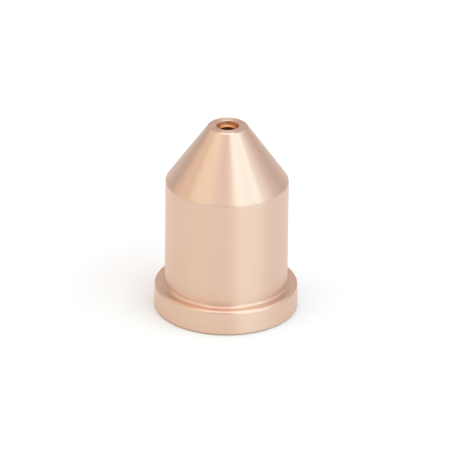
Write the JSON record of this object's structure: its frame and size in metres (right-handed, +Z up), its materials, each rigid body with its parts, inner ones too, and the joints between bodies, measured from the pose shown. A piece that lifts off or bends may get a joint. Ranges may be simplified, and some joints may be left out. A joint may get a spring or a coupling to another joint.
{
  "type": "plasma torch nozzle",
  "caption": "Flanged copper nozzle with a cylindrical body, a conical tip and an orifice in a shallow counterbore, bored out from behind.",
  "frame": {"origin": "middle of the flange's bottom face, on the nozzle's axis", "axes": "+Z up the nozzle's axis from the flange to the tip; X and Y are alike, because the nozzle is round"},
  "size_m": [0.022, 0.022, 0.0303],
  "materials": {
    "turned_copper": "fine-turned bare copper, satin"
  },
  "bodies": {
    "root": {"nozzle": "turned_copper"}
  },
  "joints": []
}
